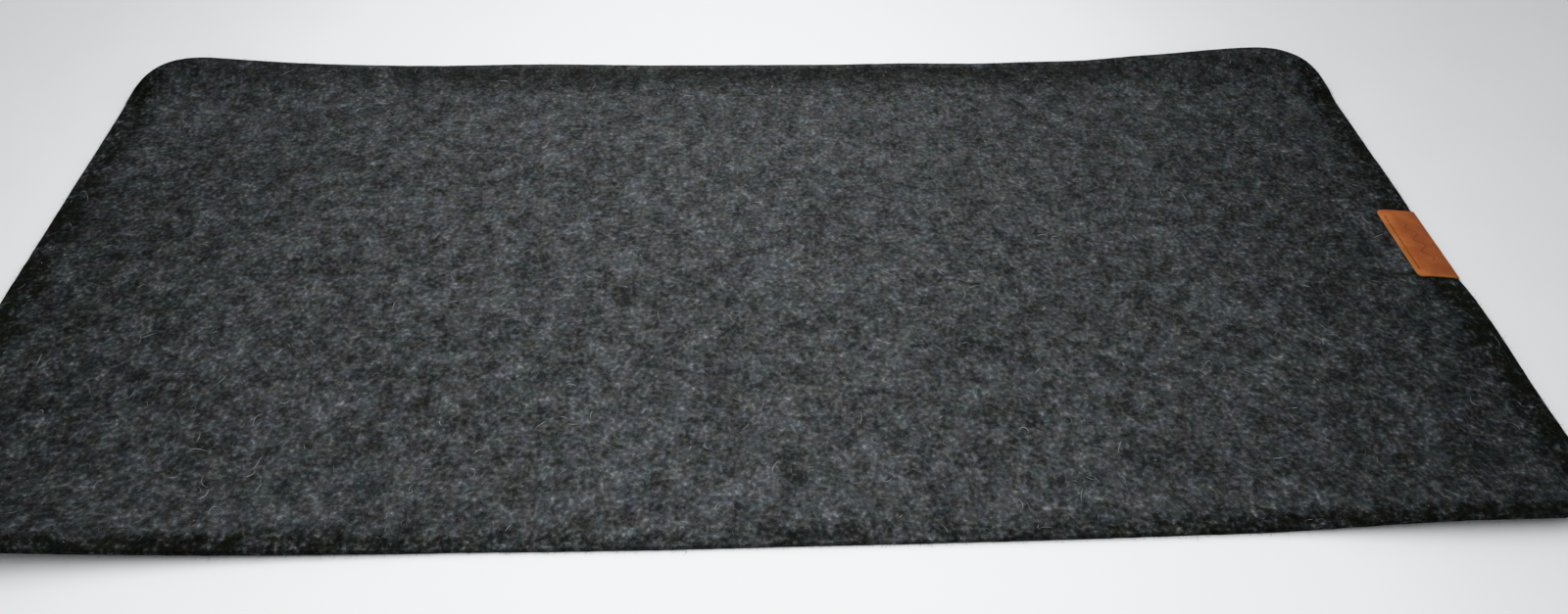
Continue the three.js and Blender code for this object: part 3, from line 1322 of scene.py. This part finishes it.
        # Painted shade: how strongly the edge bands darken the felt's colour at each vertex.
        marks = {
            "painted_shade": self.bands.near_and_sides(x, y, self.length / 2 - out, self.depth / 2 + y),
            "far_painted_shade": self.bands.far(out, self.depth / 2 - y),
        }
        return add_mesh("charcoal_felt", self.placed(x, y, z), cut.faces, marks)

    def dress(self, piece: Piece) -> None:
        """Args:
            piece: The sheet's object.
        """
        piece.data.materials.append(FeltFinish().material())
        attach(piece, ROOT)
        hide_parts("felt_sheet")


@dataclass(frozen=True)
class Sizes:
    """Random sizes from a gamma distribution, held between a least and a greatest one."""

    shape: float
    scale: float
    least: float
    greatest: float

    def draw(self, count: int, rng: Random) -> Array:
        """Draws a number of sizes."""
        return rng.gamma(self.shape, self.scale, count).clip(self.least, self.greatest)


@dataclass
class LooseFibres:
    """Fibres that stand loose of the felt: on its faces, in a few pale strands, and out of its cut edge."""

    felt: FeltSheet
    seed: int = 7
    face_count: int = 6200
    strand_count: int = 460
    under_count: int = 2500
    edge_count: int = 6200
    short: Sizes = Sizes(shape=3.0, scale=0.0011, least=0.0012, greatest=0.009)
    long: Sizes = Sizes(shape=2.2, scale=0.0020, least=0.0012, greatest=0.009)
    stub: Sizes = Sizes(shape=2.2, scale=0.00045, least=0.0004, greatest=0.0035)
    bow: Sizes = Sizes(shape=1.6, scale=0.00012, least=0.0, greatest=0.0008)
    steps: int = 6
    sides: int = 3
    arc_steps: int = 24
    thickest: float = 0.00006
    strand_thickest: float = 0.00011
    thinnest_share: float = 0.55
    end_share: float = 0.35
    inset: float = 0.004
    corner_inset: float = 0.002
    seat_share: float = 0.5
    turning: float = 1.3
    slew: float = 0.75
    bend: float = 1.0
    pitch: Pair = (0.1, 0.5)
    levelling: float = 0.5
    wall_shares: Pair = (0.12, 0.97)
    tag_margin: float = 0.0006
    shade_curve: Pair = (1.3, 2.6)
    strand_shades: Pair = (0.55, 1.0)
    top_palest: float = 0.8
    under_palest: float = 0.64
    edge_palest: float = 0.48

    def taper(self, count: int, thickest: float, rng: Random) -> Array:
        """Radii along each fibre: full in the middle and a third of that at both ends.

        Args:
            count: Number of fibres.
            thickest: The greatest radius.
            rng: The source of their radii.

        Returns:
            Radii, shaped (fibres, points).
        """
        along = np.linspace(0.0, 1.0, self.steps)
        shape = self.end_share + (1 - self.end_share) * np.sin(np.pi * along)
        return thickest * rng.uniform(self.thinnest_share, 1.0, (count, 1)) * shape[None]

    def rested(self, x: Array, y: Array, z: Array) -> Array:
        """Points of fibres where they come to lie with the sheet, none of them below the desk.

        Args:
            x: Places along the sheet's length, from its middle.
            y: Places along its depth, from its middle.
            z: Heights.

        Returns:
            Points of each path, shaped (fibres, points, 3).
        """
        paths = self.felt.placed(x, y, z)
        paths[..., 2] = np.maximum(paths[..., 2], self.thickest)
        return paths

    def lying(self, sizes: Array, face: Face, rng: Random) -> Array:
        """Paths of fibres that lie on a face.

        Each heads off at random and turns steadily, so it is an arc in plan, and it rises from the face
        in a low bow, sin(pi t) high. What would leave the face at a corner is drawn in to a smaller circle.

        Args:
            sizes: The length of each fibre.
            face: The face that they lie on.
            rng: The source of their places and shapes.

        Returns:
            Points of each path, shaped (fibres, points, 3).
        """
        count = len(sizes)
        halves = [size / 2 - self.inset for size in (self.felt.length, self.felt.depth)]
        starts = [rng.uniform(-half, half, count)[:, None] for half in halves]
        heading = rng.uniform(0, 2 * np.pi, count)
        turning = rng.normal(0.0, self.turning, count)
        along = np.linspace(0.0, 1.0, self.steps)[None]
        angle = heading[:, None] + turning[:, None] * along
        step = sizes[:, None] / (self.steps - 1)
        ways = (np.cos(angle), np.sin(angle))
        places = [start + np.cumsum(way * step, axis=1) for start, way in zip(starts, ways)]
        radius = np.where(places[1] < 0, self.felt.near_corner, self.felt.far_corner) - self.corner_inset
        past = [np.maximum(0.0, np.abs(place) - (half - radius)) for place, half in zip(places, halves)]
        over = np.maximum(1.0, np.hypot(*past) / radius)
        x, y = (np.sign(place) * (np.abs(place) - far + far / over) for place, far in zip(places, past))
        bow = self.bow.draw(count, rng)[:, None] * np.sin(np.pi * along)
        off = face.value * (self.thickest * self.seat_share + bow)
        return self.rested(x, y, self.felt.height(x, y, face) + off)

    def outline(self) -> tuple[Array, Array, Array]:
        """The sheet's outline, anticlockwise from the near right corner and back to it.

        Each corner's centre plus its radius times the cosine and sine of the way that the edge faces.

        Returns:
            Places of its points along X and Y, and the angle of the way out at each.
        """
        waver = self.felt.edge_waver
        near = (-1, self.felt.near_corner)
        far = (1, self.felt.far_corner)
        x = []
        y = []
        angles = []
        for quarter, (across, (along, radius)) in enumerate(((1, near), (1, far), (-1, far), (-1, near))):
            angle = np.linspace(quarter - 1, quarter, self.arc_steps) * (np.pi / 2)
            x.append(across * (self.felt.length / 2 - radius) + np.cos(angle) * (radius - waver))
            y.append(along * (self.felt.depth / 2 - radius) + np.sin(angle) * (radius - waver))
            angles.append(angle)
        x.append(x[0][:1])
        y.append(y[0][:1])
        angles.append(angles[-1][-1:])
        return np.concatenate(x), np.concatenate(y), np.concatenate(angles)

    def bristling(self, count: int, rng: Random) -> Array:
        """Paths of fibres that stick out of the cut edge.

        Each starts at a random place along the outline and height on the wall, and bends away from the
        outward direction as it goes.

        Args:
            count: Number of fibres.
            rng: The source of their places and shapes.

        Returns:
            Points of each path, shaped (fibres, points, 3).
        """
        outline_x, outline_y, outward = self.outline()
        travelled = running(np.hypot(np.diff(outline_x), np.diff(outline_y)))
        where = rng.uniform(0, travelled[-1], count)
        x0 = np.interp(where, travelled, outline_x)
        y0 = np.interp(where, travelled, outline_y)
        normal = np.interp(where, travelled, outward)
        size = self.stub.draw(count, rng)
        slew = rng.normal(0.0, self.slew, count)
        bend = rng.normal(0.0, self.bend, count)
        pitch = rng.normal(*self.pitch, count)
        along = np.linspace(0.0, 1.0, self.steps)[None]
        angle = (normal + slew)[:, None] + bend[:, None] * along
        tilt = pitch[:, None] * (1 - self.levelling * along)
        step = size[:, None] / (self.steps - 1)
        x = x0[:, None] + np.cumsum(np.cos(angle) * np.cos(tilt) * step, axis=1)
        y = y0[:, None] + np.cumsum(np.sin(angle) * np.cos(tilt) * step, axis=1)
        low = self.felt.height(x0, y0, Face.UNDERSIDE)
        high = self.felt.height(x0, y0, Face.TOP)
        share = rng.uniform(*self.wall_shares, count)
        z = (low + share * (high - low))[:, None] + np.cumsum(np.sin(tilt) * step, axis=1)
        log.info("edge outline of %.3f m carries %d fibres", travelled[-1], count)
        return self.rested(x, y, z)

    def clear_of_tag(self, paths: Array) -> Array:
        """Which paths stay outside the tag's box, so that none pierces the leather.

        Args:
            paths: Points of each path, shaped (fibres, points, 3).

        Returns:
            Whether each path is clear.
        """
        low = np.array(self.felt.fold.low) - self.tag_margin
        high = np.array(self.felt.fold.high) + self.tag_margin
        x, y = paths[..., 0], paths[..., 1]
        return ~((x > low[0]) & (y > low[1]) & (y < high[1])).any(axis=1)

    def add(self, name: str, paths: Array, shade: Array, thickest: float, rng: Random) -> Piece:
        """Makes one piece of the fibres that keep clear of the tag, each with a shade of its own.

        Args:
            name: The piece's name.
            paths: Points of each path, shaped (fibres, points, 3).
            shade: The shade of each fibre.
            thickest: The greatest radius.
            rng: The source of the radii.

        Returns:
            The new object.
        """
        clear = self.clear_of_tag(paths)
        radii = self.taper(len(paths), thickest, rng)
        points, faces = tubes(paths[clear], radii[clear], self.sides, Vector((0.0, 0.0, 1.0)))
        marks = {"shade": np.repeat(shade[clear].clip(0.0, 1.0), self.steps * self.sides)}
        return add_mesh(name, points, faces, marks)

    def build(self) -> list[Piece]:
        """Makes the fibres of the top, its pale strands, and the fibres of the underside and the cut edge.

        Returns:
            The four objects, in that order.
        """
        rng = np.random.default_rng(self.seed)
        top_sizes = self.short.draw(self.face_count, rng)
        strand_sizes = self.long.draw(self.strand_count, rng)
        under_sizes = self.short.draw(self.under_count, rng)
        top = self.lying(top_sizes, Face.TOP, rng)
        strands = self.lying(strand_sizes, Face.TOP, rng)
        under = self.lying(under_sizes, Face.UNDERSIDE, rng)
        edge = self.bristling(self.edge_count, rng)
        top_shade = rng.beta(*self.shade_curve, len(top)) * self.top_palest
        strand_shade = rng.uniform(*self.strand_shades, len(strands))
        under_shade = rng.beta(*self.shade_curve, len(under)) * self.under_palest
        edge_shade = rng.beta(*self.shade_curve, len(edge)) * self.edge_palest
        return [
            self.add("top_fibres", top, top_shade, self.thickest, rng),
            self.add("top_strands", strands, strand_shade, self.strand_thickest, rng),
            self.add("underside_fibres", under, under_shade, self.thickest, rng),
            self.add("edge_fibres", edge, edge_shade, self.thickest, rng),
        ]

    def dress(self, pieces: list[Piece]) -> None:
        """Gives the fibres their finish.

        Args:
            pieces: The fibres' objects.
        """
        material = LooseFibreFinish().material()
        for piece in pieces:
            piece.data.materials.append(material)
            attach(piece, ROOT)


@dataclass
class LeatherTag:
    """The leather strip folded round the sheet's right edge, with a wave line pressed in its top leaf."""

    fold: TagFold
    corner: float = 0.003
    arris: float = 0.0003
    groove_depth: float = 0.00014
    groove_width: float = 0.00042
    wave_length: float = 0.011
    wave_height: float = 0.0026
    wave_run: float = 0.033
    wave_line: float = 0.0005
    wave_depth: float = 0.00016
    wave_share: float = 0.6
    wave_softness: float = 0.3
    wave_end: float = 0.5
    crown: float = 0.00012
    crown_run: float = 1.2
    lift: float = 0.0001
    roughness: Cloud = Cloud(cell=0.0022, height=0.00003, seed=61)
    light_end: float = 0.012
    light_side: float = 0.003
    light_side_share: float = 0.4
    shaded: Pair = (0.010, 0.015)

    def __post_init__(self) -> None:
        """Works out the tag's middle line across the strip."""
        self.middle = (self.fold.low.y + self.fold.high.y) / 2

    def pattern(self) -> Pattern:
        """The strip's flat pattern: both leaves and the fold's middle layer between them."""
        return Pattern(
            length=self.fold.length,
            width=self.fold.high.y - self.fold.low.y,
            low_corner=self.corner,
            high_corner=self.corner,
            thickness=self.fold.leather,
            arris=self.arris,
            column_step=0.00025,
            row_step=0.00036,
            corner_steps=8,
            arris_steps=3,
            wall_steps=2,
        )

    def from_end(self, p: Array) -> Array:
        """Distance from the nearer of the leaves' free ends."""
        return self.fold.length / 2 - np.abs(p)

    def wave(self, p: Array, q: Array) -> Array:
        """How deep the pressed wave line is at a place: 1 on the line and 0 off it.

        The line's place along the strip is a sine of the place across it, and its ends fade out.

        Args:
            p: Places along the strip, from its middle.
            q: Places across it, from its middle.

        Returns:
            The depth at each place, as a share of the whole.
        """
        centre = self.fold.length / 2 - (self.fold.edge - self.fold.low.x) * self.wave_share
        phase = 2 * np.pi * q / self.wave_length
        slope = self.wave_height * 2 * np.pi / self.wave_length * np.cos(phase)
        off = np.abs(p - centre - self.wave_height * np.sin(phase)) / np.sqrt(1 + slope**2)
        ends = smooth((self.wave_run / 2 - np.abs(q)) / self.wave_line + self.wave_end)
        return fade(off, self.wave_line, self.wave_softness) * ends

    def groove(self, p: Array, q: Array) -> Array:
        """How far the seam draws the leather in: 1 along the row of stitches and 0 off it.

        Args:
            p: Places along the strip, from its middle.
            q: Places across it, from its middle.

        Returns:
            The depth at each place, as a share of the whole.
        """
        off = (self.from_end(p) - self.fold.seam_inset) / self.groove_width
        along = smooth((self.fold.seam_half + self.groove_width - np.abs(q)) / self.groove_width)
        return np.exp(-(off**2)) * along

    def build(self) -> Piece:
        """Folds the strip, with a low crown between the seam and the fold and a slightly lifted free end.

        Returns:
            The tag's object.
        """
        cut = self.pattern().cut()
        from_end = self.from_end(cut.p)
        outer = cut.w / self.fold.leather
        upper = cut.p > 0
        past_seam = (from_end - self.fold.seam_inset) / (self.fold.length / 2)
        crown = self.crown * np.sin(np.pi * np.clip(past_seam * self.crown_run, 0.0, 1.0))
        leaf_end = fade(from_end, self.fold.seam_inset)
        press = self.wave(cut.p, cut.q) * upper
        groove = self.groove(cut.p, cut.q + self.middle - self.fold.seam_middle)
        rough = self.roughness.at(cut.p, cut.q)
        w = cut.w + outer * (rough - press * self.wave_depth - groove * self.groove_depth)
        w = w + (crown + self.lift * leaf_end) * upper
        x, z = self.fold.laid(cut.p + self.fold.length / 2, w)
        points = np.stack([x, cut.q + self.middle, z], axis=1)
        # Painted light: paler towards the free ends and along the sides; painted shade: darker towards the
        # fold on the upper leaf.
        to_side = self.pattern().width / 2 - np.abs(cut.q)
        side_light = fade(to_side, self.light_side) * self.light_side_share
        painted_light = np.maximum(fade(from_end, self.light_end), side_light)
        shaded = rise(from_end, *self.shaded) * upper
        marks = {"rim": cut.rim, "press": press * outer, "painted_light": painted_light, "shaded": shaded}
        return add_mesh("folded_leather_tag", points, cut.faces, marks)

    def dress(self, piece: Piece) -> None:
        """Args:
            piece: The tag's object.
        """
        piece.data.materials.append(LeatherFinish().material())
        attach(piece, ROOT)
        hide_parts("leather_tag")


@dataclass
class SeamThread:
    """One thread of the tag's lockstitch, of two plies twisted together."""

    node: str
    piece_name: str
    face: Face
    stitch_length: float = 0.0035
    ply_radius: float = 0.00014
    ply_spread: float = 0.9
    twist: float = 0.0011
    steps_per_stitch: int = 26
    sides: int = 8
    slant: float = 0.00010
    sunk: float = 0.00026
    dive: float = 0.0012
    dive_power: int = 10
    sag: float = 0.00005

    def route(self) -> Array:
        """The thread's middle line: level over each stitch and down a hole at both ends of it.

        The depth follows a high power of the distance from the stitch's middle, plus a slight sag.

        Returns:
            The line's points in rows of three.
        """
        low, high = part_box(self.node)
        count = round((high.y - low.y) / self.stitch_length)
        start = (low.y + high.y) / 2 - count * self.stitch_length / 2
        steps = np.linspace(0.0, count, count * self.steps_per_stitch + 1)
        within = 2 * (steps - np.floor(steps)) - 1
        within[-1] = 1.0
        crest = high.z - self.sunk if self.face is Face.TOP else low.z + self.sunk
        depth = self.dive * np.abs(within) ** self.dive_power + self.sag * within**2
        x = (low.x + high.x) / 2 + self.slant * within
        y = start + steps * self.stitch_length
        z = crest - self.face.value * depth
        return np.stack([x, y, z], axis=1)

    def build(self) -> Piece:
        """Twists two plies round the thread's middle line.

        Each ply's middle is the line's point plus the ply's radius in a direction that turns steadily
        with the distance travelled.

        Returns:
            The thread's object.
        """
        route = self.route()
        travelled = running(np.linalg.norm(np.diff(route, axis=0), axis=1))
        along = unit(np.gradient(route, axis=0))
        aside = unit(np.cross(along, np.array([1.0, 0.0, 0.0])))
        across = np.cross(along, aside)
        plies = []
        for ply in range(2):
            angle = 2 * np.pi * travelled / self.twist + ply * np.pi
            ring = aside * np.cos(angle)[:, None] + across * np.sin(angle)[:, None]
            plies.append(route + ring * self.ply_radius * self.ply_spread)
        paths = np.stack(plies)
        radii = np.full(paths.shape[:2], self.ply_radius)
        points, faces = tubes(paths, radii, self.sides, Vector((1.0, 0.0, 0.0)))
        return add_mesh(self.piece_name, points, faces, {})

    def dress(self, piece: Piece, material: Material) -> None:
        """Gives the thread its finish.

        Args:
            piece: The thread's object.
            material: Its finish.
        """
        piece.data.materials.append(material)
        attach(piece, ROOT)
        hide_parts(self.node)


@dataclass(frozen=True)
class Viewpoint:
    """The photograph's camera, measured from the middle of the sheet."""

    focal_pixels: float = 1220.56
    pitch: float = math.radians(42.91)
    yaw: float = math.radians(4.176)
    roll: float = math.radians(1.986)
    place: Triple = (-0.018857, -0.519093, 0.443726)
    sensor: float = 36.0
    clip: Pair = (0.01, 50.0)

    def add(self, middle: Vector) -> None:
        """Makes the camera: it looks along +Y, turned right, down and then about its own line of sight.

        Args:
            middle: The middle of the sheet, on the surface that it lies on.
        """
        forward = Vector(
            (
                math.sin(self.yaw) * math.cos(self.pitch),
                math.cos(self.yaw) * math.cos(self.pitch),
                -math.sin(self.pitch),
            )
        )
        level = Vector((math.cos(self.yaw), -math.sin(self.yaw), 0.0))
        above = level.cross(forward)
        right = math.cos(self.roll) * level + math.sin(self.roll) * above
        up = -math.sin(self.roll) * level + math.cos(self.roll) * above
        data = bpy.data.cameras.new("camera")
        data.sensor_width = self.sensor
        data.lens = self.focal_pixels * self.sensor / PHOTO_WIDTH
        data.clip_start, data.clip_end = self.clip
        camera = bpy.data.objects.new("camera", data)
        turned = Matrix((right, up, -forward)).transposed().to_4x4()
        camera.matrix_world = Matrix.Translation(middle + Vector(self.place)) @ turned
        bpy.context.scene.collection.objects.link(camera)
        bpy.context.scene.camera = camera


@dataclass(frozen=True)
class Lamp:
    """A soft rectangular light."""

    name: str
    place: Triple
    aim: Triple
    size: Pair
    power: float

    def add(self) -> None:
        """Makes the light and turns its -Z to its aim."""
        data = bpy.data.lights.new(self.name, "AREA")
        data.shape = "RECTANGLE"
        data.size, data.size_y = self.size
        data.energy = self.power
        lamp = bpy.data.objects.new(self.name, data)
        lamp.visible_camera = False
        toward = Vector(self.aim) - Vector(self.place)
        turned = toward.to_track_quat("-Z", "Y").to_matrix().to_4x4()
        lamp.matrix_world = Matrix.Translation(self.place) @ turned
        bpy.context.scene.collection.objects.link(lamp)


@dataclass(frozen=True)
class Studio:
    """The plain pale floor and the soft light."""

    floor_half: float = 6.0
    ambient: float = 0.66
    ambient_colour: Colour = (0.96, 0.98, 1.0)
    lamps: tuple[Lamp, ...] = (
        Lamp("overhead", (-0.02, -0.02, 0.42), (-0.02, -0.02, 0.0), (0.08, 0.90), 2.8),
    )

    def build(self) -> None:
        """Makes the floor, the surrounding light and the lamps."""
        half = self.floor_half
        corners = np.array([[-half, -half, 0], [half, -half, 0], [half, half, 0], [-half, half, 0]], float)
        floor = add_mesh("floor", corners, [[0, 1, 2, 3]], {})
        floor.data.materials.append(FloorFinish().material())
        world = bpy.data.worlds.new("surroundings")
        world.use_nodes = True
        backdrop = world.node_tree.nodes["Background"]
        backdrop.inputs["Color"].default_value = (*self.ambient_colour, 1.0)
        backdrop.inputs["Strength"].default_value = self.ambient
        bpy.context.scene.world = world
        for lamp in self.lamps:
            lamp.add()
        view = bpy.context.scene.view_settings
        view.view_transform = "Khronos PBR Neutral"
        view.look = "None"


def report(pieces: list[Piece]) -> None:
    """Logs each piece's name and size in faces."""
    for piece in pieces:
        log.info("%s: %d faces", piece.name, len(piece.data.polygons))


def main() -> None:
    """Builds the camera, the studio and every piece of the pad, in order."""
    logging.basicConfig(level=logging.INFO, format="%(name)s: %(message)s")
    fold = TagFold()
    felt = FeltSheet(fold)
    Viewpoint().add(Vector((felt.middle.x, felt.middle.y, 0.0)))
    Studio().build()
    sheet = felt.build()
    felt.dress(sheet)
    fibres = LooseFibres(felt)
    loose = fibres.build()
    fibres.dress(loose)
    tag = LeatherTag(fold)
    folded = tag.build()
    tag.dress(folded)
    thread_material = ThreadFinish().material()
    threads = []
    for node, name, face in (
        ("tag_needle_thread", "needle_stitches", Face.TOP),
        ("tag_bobbin_thread", "bobbin_stitches", Face.UNDERSIDE),
    ):
        thread = SeamThread(node, name, face)
        stitches = thread.build()
        thread.dress(stitches, thread_material)
        threads.append(stitches)
    report([sheet, *loose, folded, *threads])


if __name__ == "__main__":
    main()
